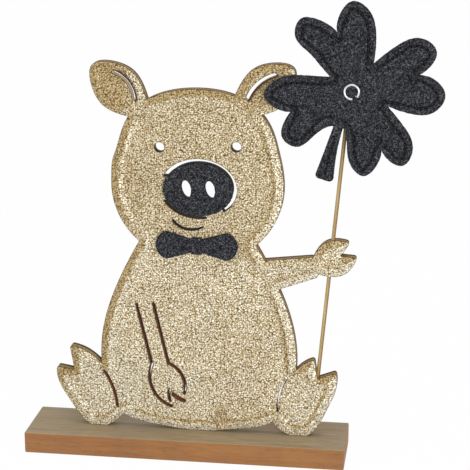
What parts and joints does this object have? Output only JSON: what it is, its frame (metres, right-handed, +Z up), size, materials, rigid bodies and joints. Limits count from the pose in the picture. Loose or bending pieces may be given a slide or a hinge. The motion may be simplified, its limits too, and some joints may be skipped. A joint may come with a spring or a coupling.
{
  "type": "pig figurine",
  "caption": "Flat glittered board pig sitting upright on a wooden base, with felt snout and bow tie, holding a thin stick that carries a felt clover.",
  "frame": {"origin": "middle of the base board's underside", "axes": "+X to the viewer's right along the base, +Y to the pig's back, +Z up; the pig faces -Y"},
  "size_m": [0.2531, 0.044, 0.2839],
  "materials": {
    "base_wood": "planed, lightly stained",
    "board": "dark, scorched cut walls",
    "glitter": "gold glitter coat",
    "felt": "anthracite mottled wool felt",
    "thread": "dark sewing thread",
    "stick_wood": "plain light wood",
    "wire": "bright drawn wire",
    "steel": "zinc plated"
  },
  "bodies": {
    "pig": {"base_board": "base_wood", "pig_plate": "board", "glitter_front": "glitter", "felt_snout": "felt", "felt_bow_tie": "felt", "base_screws": "steel"},
    "stick": {"stick": "stick_wood"},
    "clover": {"clover_front_felt": "felt", "clover_back_felt": "felt", "clover_seam": "thread", "wire_ring": "wire"}
  },
  "joints": [
    {"name": "stick_lift", "type": "slide", "parent": "pig", "child": "stick", "axis": [0.0908, -0.0202, 0.9957], "range_m": [0, 0.085]},
    {"name": "clover_turn", "type": "hinge", "parent": "stick", "child": "clover", "pos_m": [0.09799, -0.0029, 0.2317], "axis": [0.0908, -0.0202, 0.9957], "range_deg": [0, 120]}
  ]
}
